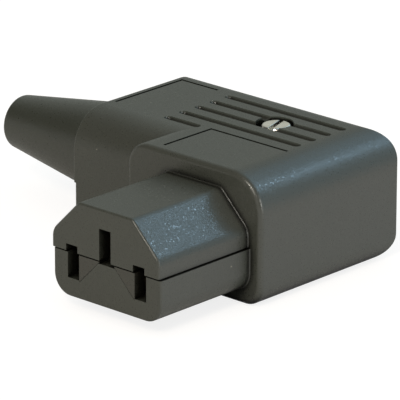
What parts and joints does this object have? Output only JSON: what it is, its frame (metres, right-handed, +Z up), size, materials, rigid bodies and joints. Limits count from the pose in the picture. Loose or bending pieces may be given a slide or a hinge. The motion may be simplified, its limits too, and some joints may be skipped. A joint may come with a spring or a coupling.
{
  "type": "c13 power connector",
  "caption": "Right-angle appliance connector with slotted contact nose, screwed two-shell housing and tapered rubber cable sleeve.",
  "frame": {"origin": "on the underside, where the centre plane of the nose crosses the axis of the cable sleeve", "axes": "+Z up from the underside; the contact nose points to -Y; the cable sleeve points to -X and the closed end to +X"},
  "size_m": [0.0694, 0.0521, 0.0211],
  "materials": {
    "shell_plastic": "fine spark-eroded grain",
    "carrier_plastic": "smooth",
    "sleeve_rubber": "smooth matt",
    "contact_brass": "rolled strip",
    "terminal_brass": "drawn bar",
    "zinc_steel": "zinc plated",
    "bright_nickel": "bright nickel plated, turned"
  },
  "bodies": {
    "root": {"upper_shell": "shell_plastic", "lower_shell": "shell_plastic", "contact_carrier": "carrier_plastic", "line_contact": "contact_brass", "neutral_contact": "contact_brass", "earth_contact": "contact_brass", "line_terminal": "terminal_brass", "neutral_terminal": "terminal_brass", "earth_terminal": "terminal_brass", "line_terminal_screw": "zinc_steel", "neutral_terminal_screw": "zinc_steel", "earth_terminal_screw": "zinc_steel", "cord_strap": "carrier_plastic", "front_strap_screw": "zinc_steel", "back_strap_screw": "zinc_steel", "front_strap_nut": "zinc_steel", "back_strap_nut": "zinc_steel", "cover_screw": "bright_nickel", "cover_nut": "zinc_steel", "bend_sleeve": "sleeve_rubber"}
  },
  "joints": []
}
